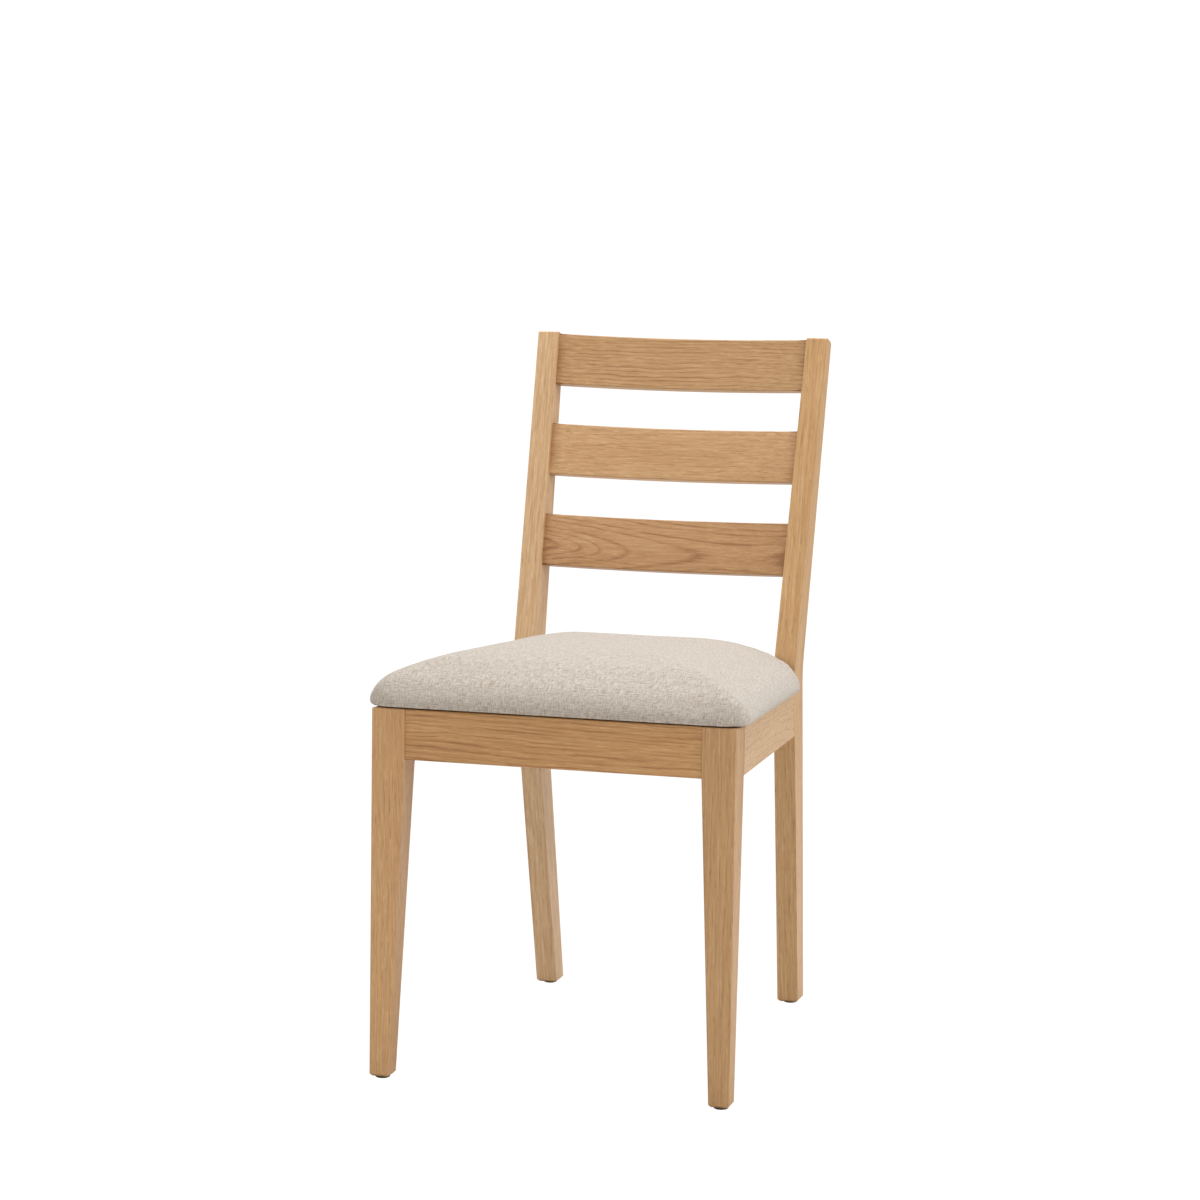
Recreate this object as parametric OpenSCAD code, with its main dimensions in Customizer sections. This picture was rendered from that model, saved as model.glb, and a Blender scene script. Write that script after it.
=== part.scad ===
// Dining chair: a ladder back of three bowed slats, tapered front legs, raked
// rear posts, four doweled seat rails with corner blocks, and an upholstered
// seat that is notched round the posts and screwed down through the blocks.
// Front faces -Y, left is -X, the floor is z = 0, and the origin is the centre
// of the footprint.

/* [Overall] */
// Height of the post tops above the floor
overall_h = 880; // [840:5:920]
// Height of the seat frame above the floor, at its front edge
frame_h = 450; // [436:1:455]
// Slope of the seat frame down towards the back, degrees
seat_slope = 2.4; // [0:0.1:3]
// Width over the front legs
front_w = 445; // [420:5:480]
// Width over the rear posts, level with the seat frame
rear_w = 377; // [360:1:400]
// Front of the front legs to the foremost line of the rear posts
post_set = 438; // [400:1:460]

/* [Front legs] */
// Width across the front of a leg at the top
leg_w = 41; // [36:1:48]
// Depth of a leg at the top
leg_d = 41; // [36:1:48]
// Width and depth of a leg at the floor
leg_foot = 25.5; // [20:0.5:34]
// Bevel round the foot of every leg
foot_bevel = 3; // [1:0.5:5]

/* [Rear posts] */
// Width across the front of a post
post_w = 27.5; // [24:0.5:32]
// Depth of a post where it bends
post_knee_d = 48.5; // [40:0.5:52]
// Depth of a post at the floor
post_foot_d = 32; // [26:1:38]
// Thickness of a post at the top, square to its slope
post_top_d = 26; // [22:0.5:30]
// Height of the bend
knee_h = 455; // [450:1:475]
// Radius of the bend
knee_r = 110; // [60:10:160]
// Slope of the upper post behind the vertical, degrees
recline = 15.4; // [10:0.2:17]
// Slope of the lower post behind the vertical, degrees
rake = 12.4; // [8:0.1:15]
// Outward slope of the posts, seen from the front, degrees
splay = 1; // [0:0.05:1.5]

/* [Rails] */
// Height of the front and rear rails
rail_h = 61; // [56:0.5:70]
// Height of the side rails
side_rail_h = 59.5; // [56:0.5:70]
// Thickness of the four rails
rail_t = 20; // [18:1:24]
// Front rail behind the faces of the front legs
rail_inset = 2.5; // [0:0.5:5]
// Front of the rear rail behind the foremost line of the posts
rear_rail_set = 23; // [21:1:25]
// Diameter of the dowels
dowel_d = 8; // [6:1:8]
// Length of the dowels
dowel_len = 38; // [30:2:38]

/* [Slats] */
// Height of a slat, along the slope of the back
slat_h = 68; // [50:1:70]
// Gap between two slats, along the slope of the back
slat_gap = 53.5; // [40:0.5:60]
// Top slat below the post tops
slat_drop = 1.5; // [0:0.5:20]
// Thickness of a slat
slat_t = 16; // [12:1:17]
// Slat behind the front of the posts
slat_inset = 6; // [3:0.5:7]
// Depth of the bow of a slat across its length
slat_bow = 13; // [5:1:16]
// Length of the tenon at each end of a slat
tenon_len = 17; // [10:1:18]
// Thickness of the tenons
tenon_t = 8; // [6:1:9]

/* [Seat] */
// Seat beyond the rails and front legs
pad_overhang = 4.5; // [1:0.5:6]
// Height of the crown of the seat above the seat frame
pad_h = 70; // [50:1:75]
// Thickness of the plywood seat board
board_t = 12; // [9:1:15]
// Thickness of the seat fabric
cover_t = 1.2; // [0.8:0.1:2]
// Thickness of the dust cover cloth
dust_t = 0.6; // [0.4:0.1:1]
// Gap between the seat and the posts
post_gap = 2.5; // [1:0.5:5]
// Radius of the front corners of the seat
pad_corner_r = 22; // [10:1:30]

/* [Blocks and screws] */
// Length of a corner block along each rail
block_leg = 80; // [76:1:84]
// Height of a corner block
block_h = 34; // [28:1:40]
// Corner blocks below the rail tops
block_drop = 6; // [3:1:12]
// Length of the screws that hold the blocks
block_screw_len = 32; // [25:1:34]
// Length of the screws that hold the seat
seat_screw_len = 52; // [49:1:54]

/* [Glides] */
// Diameter of a glide
glide_d = 18; // [14:1:20]
// Height of a glide below the foot
glide_h = 3; // [2:0.5:5]

/* [Hidden] */
$fn = 48;

oak = "#c79b68";
oak_pale = "#d3aa78";
birch = "#d9c39a";
linen = "#c8bdb0";
foam_yellow = "#e6dca8";
cloth_black = "#2b2b2b";
plastic_dark = "#4a4038";
steel = "#a8abb0";

// Depth stations. The footprint runs from the overhang of the seat to the foot
// of the posts, their tops or the bow of the top slat, whichever is rearmost.
// The tilt of the seat draws its foremost line back a little.
top_run = (overall_h - knee_h) * tan(recline);
foot_run = knee_h * tan(rake);
slat_reach = (slat_inset + slat_bow + slat_t) * cos(recline) - slat_drop * sin(recline);
back_reach = post_set + max(
    foot_run + post_foot_d,
    top_run + post_top_d * cos(recline),
    top_run + slat_reach
);
pad_round = 4;
pad_reach = pad_overhang * cos(seat_slope) - 1.5 * pad_round * sin(seat_slope);
front_y = -(back_reach - pad_reach) / 2;
leg_back_y = front_y + leg_d;
knee_y = front_y + post_set;
front_rail_y = front_y + rail_inset;
rear_rail_y = knee_y + rear_rail_set;

// Top of the seat frame at depth y, and bottom of the front and rear rails
function frame_z(y) = frame_h - (y - front_y) * tan(seat_slope);
function rail_z(y) = frame_z(y) - rail_h;
// Front face of a post at height z
function post_front_y(z) = knee_y + (z < knee_h
    ? (knee_h - z) * tan(rake)
    : (z - knee_h) * tan(recline));
// Outer and inner face of a right-hand post at height z
function post_outer_x(z) = rear_w / 2 + (z - frame_h) * tan(splay);
function post_inner_x(z) = post_outer_x(z) - post_w;

// Outer face of the right side rail, which runs from leg to post
side_run = knee_y - leg_back_y;
side_angle = atan((front_w - rear_w) / 2 / side_run);
function side_x(y) = front_w / 2 - (y - leg_back_y) * tan(side_angle);
function side_inner_x(y) = side_x(y) - rail_t / cos(side_angle);

// Tilts pieces that are drawn level on frame_h to the slope of the seat frame
module in_seat() {
    translate([0, front_y, frame_h])
        rotate([-seat_slope, 0, 0])
            translate([0, -front_y, -frame_h]) children();
}

function unit(v) = v / norm(v);
// Points of an arc of radius r that rounds corner b between a and c
function arc_corner(a, b, c, r, steps = 8) =
    let (
        u = unit(a - b),
        v = unit(c - b),
        half = acos(u * v) / 2,
        centre = b + unit(u + v) * r / sin(half),
        from = b + u * r / tan(half) - centre,
        to = b + v * r / tan(half) - centre,
        start = atan2(from[1], from[0]),
        turn = atan2(to[1], to[0]) - start,
        sweep = turn > 180 ? turn - 360 : (turn < -180 ? turn + 360 : turn)
    )
    [for (i = [0:steps])
        centre + r * [cos(start + sweep * i / steps), sin(start + sweep * i / steps)]];
// A closed outline with each corner rounded by its own radius
function rounded(pts, radii) = [
    for (i = [0:len(pts) - 1])
        each arc_corner(
            pts[(i + len(pts) - 1) % len(pts)],
            pts[i],
            pts[(i + 1) % len(pts)],
            radii[i],
            4
        )
];

// A side outline, points [y, z], pushed through the whole width
module side_profile(pts) {
    rotate([90, 0, 90])
        translate([0, 0, -front_w])
            linear_extrude(2 * front_w) polygon(pts);
}
// A front outline, points [x, z], pushed through the whole depth
module front_profile(pts) {
    rotate([90, 0, 0])
        translate([0, 0, -back_reach])
            linear_extrude(2 * back_reach) polygon(pts);
}
module left_hand() {
    mirror([1, 0, 0]) children();
}
module both_hands() {
    children();
    left_hand() children();
}

// Dowels. Each one is centred on its joint face. The cross rails and the side
// rails have theirs at staggered heights, so that they pass each other.
cross_dowel_rise = [11, 37];
side_dowel_rise = [24, 50];
leg_inner_x = front_w / 2 - leg_w;
module cross_dowels(grow) {
    for (rise = cross_dowel_rise) {
        front_z = rail_z(front_rail_y) + rise;
        rear_z = rail_z(rear_rail_y) + rise;
        translate([leg_inner_x, front_rail_y + rail_t / 2, front_z])
            dowel([0, 90, 0], grow);
        translate([post_inner_x(rear_z), rear_rail_y + rail_t / 2, rear_z])
            dowel([0, 90, 0], grow);
    }
}
module side_dowels(grow) {
    for (rise = side_dowel_rise) {
        front_z = rail_z(leg_back_y) + rise;
        rear_z = rail_z(knee_y) + rise;
        rear_y = post_front_y(rear_z);
        translate([side_x(leg_back_y) - rail_t / 2, leg_back_y, front_z])
            dowel([90, 0, 0], grow);
        translate([side_x(rear_y) - rail_t / 2, rear_y, rear_z])
            dowel([90, 0, 0], grow);
    }
}
// A dowel with bevelled ends. grow makes the hole, a little deeper at each end
module dowel(turn, grow) {
    bevel = 1.5;
    body_len = dowel_len - 2 * bevel;
    rotate(turn) {
        if (grow > 0) {
            cylinder(h = dowel_len + 2 * grow, d = dowel_d, center = true);
        } else {
            cylinder(h = body_len, d = dowel_d, center = true);
            for (side = [0, 180])
                rotate([side, 0, 0])
                    translate([0, 0, body_len / 2])
                        cylinder(h = bevel, d1 = dowel_d, d2 = dowel_d - 2 * bevel);
        }
    }
}
hole_extra = 1;
module dowel_holes() {
    cross_dowels(hole_extra);
    side_dowels(hole_extra);
}

// Front leg: straight outer faces, inner faces tapered below the rails
module front_leg() {
    x = front_w / 2;
    y = front_y;
    b = foot_bevel;
    color(oak)
        difference() {
            intersection() {
                front_profile([
                    [x, glide_h + b], [x, frame_h], [x - leg_w, frame_h],
                    [x - leg_w, rail_z(y)], [x - leg_foot, glide_h + b],
                    [x - leg_foot + b, glide_h], [x - b, glide_h]
                ]);
                side_profile([
                    [y, glide_h + b], [y, frame_z(y)], [leg_back_y, frame_z(leg_back_y)],
                    [leg_back_y, rail_z(leg_back_y)], [y + leg_foot, glide_h + b],
                    [y + leg_foot - b, glide_h], [y + b, glide_h]
                ]);
            }
            dowel_holes();
            glide_nail(front_foot, 0);
        }
}

// Rear post: bent at the knee, thinner towards both ends, top cut square
post_foot_y = post_front_y(0);
post_top_y = post_front_y(overall_h);
module rear_post() {
    b = foot_bevel;
    sole = post_front_y(glide_h);
    top_front = [post_top_y, overall_h];
    top_back = top_front + post_top_d * [cos(recline), -sin(recline)];
    knee_front = [knee_y, knee_h];
    knee_back = [knee_y + post_knee_d, knee_h];
    foot_back = [post_foot_y + post_foot_d, 0];
    back_slope = (foot_back[0] - knee_back[0]) / knee_h;
    sole_back = foot_back[0] - back_slope * glide_h;
    ease = 2;
    color(oak_pale)
        difference() {
            intersection() {
                side_profile(concat(
                    arc_corner([post_foot_y, 0], knee_front, top_front, knee_r),
                    arc_corner(knee_front, top_front, top_back, ease, 4),
                    arc_corner(top_front, top_back, knee_back, 2 * ease, 4),
                    arc_corner(top_back, knee_back, foot_back, knee_r),
                    [
                        [sole_back - back_slope * b, glide_h + b],
                        [sole_back - b, glide_h],
                        [sole + b, glide_h],
                        [sole - b * tan(rake), glide_h + b]
                    ]
                ));
                front_profile([
                    [post_outer_x(glide_h + b), glide_h + b],
                    [post_outer_x(overall_h), overall_h],
                    [post_inner_x(overall_h), overall_h],
                    [post_inner_x(glide_h + b), glide_h + b],
                    [post_inner_x(glide_h) + b, glide_h],
                    [post_outer_x(glide_h) - b, glide_h]
                ]);
            }
            dowel_holes();
            for (row = [0:2])
                slat_tenon(row, mortise_gap);
            glide_nail(rear_foot, 0);
        }
}

// Rails. Their tops and bottoms follow the slope of the seat frame
module rail_band(front, back, height) {
    side_profile([
        [front, frame_z(front) - height], [front, frame_z(front)],
        [back, frame_z(back)], [back, frame_z(back) - height]
    ]);
}
module front_rail() {
    color(oak)
        difference() {
            intersection() {
                rail_band(front_rail_y, front_rail_y + rail_t, rail_h);
                translate([-leg_inner_x, front_y, 0])
                    cube([2 * leg_inner_x, leg_d, overall_h]);
            }
            both_hands() {
                cross_dowels(hole_extra);
                block_screws_here(front_block, 0);
            }
        }
}
module rear_rail() {
    color(oak)
        difference() {
            intersection() {
                rail_band(rear_rail_y, rear_rail_y + rail_t, rail_h);
                between_posts();
            }
            both_hands() {
                cross_dowels(hole_extra);
                block_screws_here(rear_block, 0);
            }
        }
}
module side_rail() {
    color(oak)
        difference() {
            intersection() {
                rail_band(leg_back_y, post_foot_y, side_rail_h);
                in_front_of_posts();
                linear_extrude(overall_h)
                    polygon([
                        [side_x(leg_back_y), leg_back_y],
                        [side_x(post_foot_y), post_foot_y],
                        [side_inner_x(post_foot_y), post_foot_y],
                        [side_inner_x(leg_back_y), leg_back_y]
                    ]);
            }
            side_dowels(hole_extra);
            block_screws_here(front_block, 0);
            block_screws_here(rear_block, 0);
        }
}
// Everything in front of the posts
module in_front_of_posts() {
    side_profile([
        [front_y, 0], [post_foot_y, 0], [knee_y, knee_h],
        [post_top_y, overall_h], [front_y, overall_h]
    ]);
}
// Everything between the inner faces of the two posts
module between_posts() {
    low = post_inner_x(0);
    high = post_inner_x(overall_h);
    front_profile([[-low, 0], [low, 0], [high, overall_h], [-high, overall_h]]);
}
module rail_dowels() {
    color(birch)
        both_hands() {
            cross_dowels(0);
            side_dowels(0);
        }
}

// Slats, drawn in a frame that slopes with the back: its origin is the middle
// of the post tops, +Y points square to the slope and +Z up along it
module back_frame() {
    translate([0, post_top_y, overall_h]) rotate([-recline, 0, 0]) children();
}
function slat_z(row) = -slat_drop - slat_h - row * (slat_h + slat_gap);
function slat_mid_z(row) = overall_h + (slat_z(row) + slat_h / 2) * cos(recline);
// Radius of the hollow front face, from half the clear width and the bow
bow_span = post_inner_x(slat_mid_z(1));
bow_r = (pow(bow_span, 2) + pow(slat_bow, 2)) / (2 * slat_bow);
mortise_gap = 0.2;
// The tenons start inside the slat. gap makes the mortise in the post
module slat_tenon(row, gap) {
    shoulder = 9;
    root = 4;
    back_frame()
        translate([
            post_inner_x(slat_mid_z(row)) - root,
            slat_inset + (slat_t - tenon_t) / 2 - gap,
            slat_z(row) + shoulder - gap
        ])
            cube([
                root + tenon_len + gap,
                tenon_t + 2 * gap,
                slat_h - 2 * shoulder + 2 * gap
            ]);
}
module slat(row) {
    color(oak) {
        intersection() {
            back_frame()
                translate([0, slat_inset + slat_bow - bow_r, slat_z(row)])
                    linear_extrude(slat_h)
                        difference() {
                            circle(r = bow_r + slat_t, $fn = 360);
                            circle(r = bow_r, $fn = 360);
                            translate([-2 * bow_r, -2 * bow_r])
                                square([4 * bow_r, 2 * bow_r]);
                        }
            between_posts();
        }
        both_hands() slat_tenon(row, 0);
    }
}

// Corner blocks. Each is [depth of the rail face, clear corner x, clear corner
// y, direction along the side rail, height of its base]; the clear corner
// passes the leg or post, and the block stays level under the sloping seat.
block_clear = 3;
front_block_y = front_rail_y + rail_t;
front_block_z = frame_z(front_block_y + block_leg) - block_drop - block_h;
rear_block_z = frame_z(rear_rail_y) - block_drop - block_h;
front_block = [
    front_block_y, leg_inner_x - block_clear, leg_back_y + block_clear, 1, front_block_z
];
rear_block = [
    rear_rail_y, post_inner_x(rear_block_z) - block_clear,
    post_front_y(rear_block_z + block_h) - block_clear, -1, rear_block_z
];
function block_outline(block) =
    let (
        y = block[0],
        far_y = y + block[3] * block_leg
    )
    [
        [side_inner_x(y) - block_leg, y],
        [block[1], y],
        [block[1], block[2]],
        [side_inner_x(block[2]), block[2]],
        [side_inner_x(far_y), far_y]
    ];
// Direction along the long face of a block, and square to it into the corner
function block_along(block) =
    let (pts = block_outline(block)) unit(pts[4] - pts[0]);
function block_inward(block) =
    let (u = block_along(block)) block[3] * [u[1], -u[0]];
module corner_block(block) {
    color(birch)
        difference() {
            translate([0, 0, block[4]])
                linear_extrude(block_h) polygon(block_outline(block));
            block_screws_here(block, 0);
            seat_screw_here(block, 0);
        }
}

// Screws. A screw points up +Z with its flat head at the origin
module screw(length, d, grow) {
    head_d = 2 * d;
    head_h = 0.6 * d;
    tip_h = 1.5 * d;
    slot = 0.28 * d;
    difference() {
        union() {
            cylinder(h = head_h, d1 = head_d + 2 * grow, d2 = d + 2 * grow);
            cylinder(h = length - tip_h, d = d + 2 * grow);
            translate([0, 0, length - tip_h])
                cylinder(h = tip_h, d1 = d + 2 * grow, d2 = 0.2 * d);
        }
        if (grow < 0)
            for (turn = [0, 90])
                rotate([0, 0, turn])
                    translate([-0.55 * d, -slot / 2, -1])
                        cube([1.1 * d, slot, 1 + 0.4 * d]);
    }
}
screw_fit = 0.02;
block_screw_d = 4;
seat_screw_d = 4.5;
// Two screws hold each block, one through each wing into its rail
module block_screws_here(block, grow) {
    from_end = 17;
    pts = block_outline(block);
    u = block_along(block);
    n = block_inward(block);
    for (p = [pts[0] + from_end * u, pts[4] - from_end * u])
        translate([p[0], p[1], block[4] + block_h / 2])
            rotate([0, 0, atan2(n[1], n[0])])
                rotate([0, 90, 0])
                    screw(block_screw_len, block_screw_d, grow);
}
// One upright screw through the middle of each block holds the seat
module seat_screw_here(block, grow) {
    pts = block_outline(block);
    p = (pts[0] + pts[4]) / 2 + 13 * block_inward(block);
    translate([p[0], p[1], block[4]])
        screw(seat_screw_len, seat_screw_d, grow);
}
module block_screws() {
    color(steel)
        both_hands() {
            block_screws_here(front_block, -screw_fit);
            block_screws_here(rear_block, -screw_fit);
        }
}
module seat_screws(grow) {
    color(steel)
        both_hands() {
            seat_screw_here(front_block, grow);
            seat_screw_here(rear_block, grow);
        }
}

// Seat plan: sides follow the side rails, and the back reaches over the rear
// rail between the posts. inset moves the whole outline inwards.
pad_front_y = front_y - pad_overhang;
pad_back_y = rear_rail_y + rail_t - 1;
function pad_edge_x(y, inset) = side_x(y) + (pad_overhang - inset) / cos(side_angle);
function pad_outline(inset) =
    let (
        front = pad_front_y + inset,
        back = pad_back_y - inset,
        front_x = pad_edge_x(front, inset),
        back_x = pad_edge_x(back, inset),
        r = max(pad_corner_r - inset, 4)
    )
    rounded(
        [[-front_x, front], [front_x, front], [back_x, back], [-back_x, back]],
        [r, r, 4, 4]
    );
module post_notches(inset) {
    x = post_inner_x(frame_h) - post_gap - inset;
    y = knee_y - post_gap - inset;
    for (side = [0, 1])
        mirror([side, 0])
            translate([x, y])
                square([front_w, back_reach]);
}
module leg_notches(inset) {
    for (side = [0, 1])
        mirror([side, 0])
            translate([leg_inner_x - inset, front_y - leg_d])
                square([2 * leg_w, 2 * leg_d + inset]);
}
module pad_plan(inset) {
    difference() {
        polygon(pad_outline(inset));
        post_notches(inset);
    }
}

// Seat section, points [inset, height]: a rounded lower edge, a short upright
// side, then a flat crown that is a quarter ellipse
pad_edge_h = 12;
crown_run = 120;
function pad_section() = concat(
    [for (a = [0:45:90]) [pad_round * (1 - sin(a)), 1.5 * pad_round * (1 - cos(a))]],
    [for (a = [0:15:90])
        [crown_run * (1 - cos(a)), pad_edge_h + (pad_h - pad_edge_h) * sin(a)]]
);
module pad_solid(shrink) {
    film = 0.1;
    squeeze = 1 - 2 * shrink / pad_h;
    difference() {
        hull()
            for (p = pad_section())
                translate([0, 0, frame_h + shrink + p[1] * squeeze - (p[1] > 0 ? film : 0)])
                    linear_extrude(film) polygon(pad_outline(p[0] + shrink));
        translate([0, 0, frame_h - 1])
            linear_extrude(2 * pad_h) post_notches(shrink);
    }
}
board_z = frame_h + cover_t;
board_inset = 8;
flap_inset = 40;
dust_inset = 30;
module seat_board() {
    color(birch)
        difference() {
            in_seat()
                difference() {
                    translate([0, 0, board_z])
                        linear_extrude(board_t) pad_plan(board_inset);
                    staple_slots();
                }
            seat_screws(0);
        }
}
module seat_foam() {
    color(foam_yellow)
        in_seat()
            difference() {
                pad_solid(cover_t);
                translate([0, 0, board_z - 1])
                    linear_extrude(board_t + 1) pad_plan(board_inset);
            }
}
module seat_cover() {
    color(linen)
        difference() {
            in_seat()
                difference() {
                    pad_solid(0);
                    pad_solid(cover_t);
                    translate([0, 0, frame_h - 1])
                        linear_extrude(cover_t + 1.5) pad_plan(flap_inset);
                    staple_slots();
                }
            seat_screws(0);
        }
}
module dust_cover() {
    color(cloth_black)
        difference() {
            in_seat()
                difference() {
                    translate([0, 0, frame_h - dust_t])
                        linear_extrude(dust_t)
                            difference() {
                                pad_plan(dust_inset);
                                leg_notches(3);
                            }
                    staple_slots();
                }
            seat_screws(0.5);
        }
}

// Staples through the dust cover and the flap of the seat cover into the board
staple_w = 10;
staple_leg = 8;
staple_wire = 0.7;
staple_band = 1.2;
staple_inset = (flap_inset + dust_inset) / 2;
staple_pitch = 50;
module at_staples() {
    front = pad_front_y + staple_inset;
    back = pad_back_y - staple_inset;
    for (i = [-3:3])
        translate([i * staple_pitch, front, 0]) children();
    for (i = [-2:2])
        translate([i * staple_pitch, back, 0]) children();
    both_hands()
        for (i = [1:6])
            translate([
                pad_edge_x(front + i * staple_pitch, staple_inset),
                front + i * staple_pitch,
                0
            ])
                rotate([0, 0, 90 + side_angle]) children();
}
module staple_legs(gap) {
    for (x = [-staple_w / 2, staple_w / 2 - staple_wire])
        translate([x - gap, -staple_band / 2 - gap, frame_h - dust_t - gap])
            cube([staple_wire + 2 * gap, staple_band + 2 * gap, staple_leg + 2 * gap]);
}
module staple_slots() {
    at_staples() staple_legs(0.1);
}
module cover_staples() {
    color(steel)
        in_seat()
            at_staples() {
                translate([-staple_w / 2, -staple_band / 2, frame_h - dust_t - staple_wire])
                    cube([staple_w, staple_band, staple_wire]);
                staple_legs(0);
            }
}

// Glides, each a plastic disc moulded round the head of its nail
sole_mid_y = (post_front_y(glide_h) + post_foot_y + post_foot_d) / 2;
front_foot = [front_w / 2 - leg_foot / 2, front_y + leg_foot / 2];
rear_foot = [(post_outer_x(0) + post_inner_x(0)) / 2, sole_mid_y];
nail_d = 2.2;
nail_head_d = 7;
nail_head_h = 0.8;
nail_len = 15;
module glide_nail(foot, grow) {
    translate([foot[0], foot[1], glide_h / 2]) {
        cylinder(h = nail_head_h, d = nail_head_d + grow);
        cylinder(h = nail_len - 2, d = nail_d + grow);
        translate([0, 0, nail_len - 2])
            cylinder(h = 2, d1 = nail_d + grow, d2 = 0.4);
    }
}
module glide(foot) {
    r = glide_d / 2;
    color(plastic_dark)
        difference() {
            translate([foot[0], foot[1], 0])
                rotate_extrude()
                    polygon([
                        [0, 0], [r - 1.6, 0], [r - 0.6, 0.5], [r, 1.4],
                        [r, glide_h], [0, glide_h]
                    ]);
            glide_nail(foot, 0);
        }
}
module glide_nails() {
    color(steel)
        both_hands() {
            glide_nail(front_foot, 0);
            glide_nail(rear_foot, 0);
        }
}

left_hand() front_leg();  // front_leg_left
front_leg();  // front_leg_right
left_hand() rear_post();  // rear_post_left
rear_post();  // rear_post_right
front_rail();
rear_rail();
left_hand() side_rail();  // side_rail_left
side_rail();  // side_rail_right
slat(0);  // slat_top
slat(1);  // slat_middle
slat(2);  // slat_bottom
left_hand() corner_block(front_block);  // corner_block_front_left
corner_block(front_block);  // corner_block_front_right
left_hand() corner_block(rear_block);  // corner_block_rear_left
corner_block(rear_block);  // corner_block_rear_right
rail_dowels();
block_screws();
seat_board();
seat_foam();
seat_cover();
dust_cover();
cover_staples();
seat_screws(-screw_fit);
left_hand() glide(front_foot);  // glide_front_left
glide(front_foot);  // glide_front_right
left_hand() glide(rear_foot);  // glide_rear_left
glide(rear_foot);  // glide_rear_right
glide_nails();
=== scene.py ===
"""Dining chair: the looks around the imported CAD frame."""

import math

import bmesh
import bpy
import numpy as np
from mathutils import Matrix, Vector, noise
from mathutils.bvhtree import BVHTree

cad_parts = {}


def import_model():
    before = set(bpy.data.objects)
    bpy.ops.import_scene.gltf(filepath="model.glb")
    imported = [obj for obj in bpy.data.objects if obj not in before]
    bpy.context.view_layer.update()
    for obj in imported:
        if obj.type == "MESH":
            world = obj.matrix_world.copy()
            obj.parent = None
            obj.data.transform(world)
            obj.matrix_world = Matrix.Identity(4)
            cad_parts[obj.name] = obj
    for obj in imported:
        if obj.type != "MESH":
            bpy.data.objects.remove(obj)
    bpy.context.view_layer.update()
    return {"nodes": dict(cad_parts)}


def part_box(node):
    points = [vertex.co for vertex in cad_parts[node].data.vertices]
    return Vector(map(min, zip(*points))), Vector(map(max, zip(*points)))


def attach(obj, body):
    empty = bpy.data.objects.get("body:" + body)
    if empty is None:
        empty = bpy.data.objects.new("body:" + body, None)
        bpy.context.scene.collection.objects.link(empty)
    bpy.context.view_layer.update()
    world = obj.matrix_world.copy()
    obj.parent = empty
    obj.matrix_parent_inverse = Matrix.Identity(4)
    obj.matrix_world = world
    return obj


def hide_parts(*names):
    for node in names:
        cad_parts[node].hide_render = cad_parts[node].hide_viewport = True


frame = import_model()
scene = bpy.context.scene
MM = 0.001

# The seat frame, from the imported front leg, and the sizes that part.scad gives it.
# SIDE_FALL is how far each side comes in from the leg's back to the knee
LEG_LOW, LEG_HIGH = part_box("front_leg_right")
FRONT_Y, FRAME_H = LEG_LOW.y, LEG_HIGH.z
HALF_FRONT = LEG_HIGH.x
LEG_W = 41 * MM
POST_SET = 438 * MM
KNEE_Y, KNEE_Z = FRONT_Y + POST_SET, 455 * MM
SIDE_FALL = 34 * MM
SIDE_TURN = math.atan(SIDE_FALL / (POST_SET - LEG_W))
SEAT_SLOPE = math.radians(2.4)
RECLINE, RAKE = math.radians(15.4), math.radians(12.4)
CORNERS = ("front_left", "front_right", "rear_left", "rear_right")


def from_seat(x, y, z):
    """A point drawn level, z above the seat frame, put on its slope."""
    back = y - FRONT_Y
    c, s = math.cos(SEAT_SLOPE), math.sin(SEAT_SLOPE)
    return Vector((x, FRONT_Y + back * c + z * s, FRAME_H - back * s + z * c))


def side_x(y, inset=0.0):
    """Outer face of the right side rail at depth y, moved inwards by inset."""
    fall = (y - FRONT_Y - LEG_W) * math.tan(SIDE_TURN)
    return HALF_FRONT - fall - inset / math.cos(SIDE_TURN)


def centre_of(node):
    low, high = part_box(node)
    return (low + high) / 2


def new_object(name, bm):
    mesh = bpy.data.meshes.new(name)
    bm.to_mesh(mesh)
    bm.free()
    obj = bpy.data.objects.new(name, mesh)
    scene.collection.objects.link(obj)
    return obj


def shade_smooth(mesh):
    for polygon in mesh.polygons:
        polygon.use_smooth = True


def paint(obj, material):
    if not obj.material_slots:
        obj.data.materials.append(material)
    for s in obj.material_slots:
        s.material = material


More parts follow.
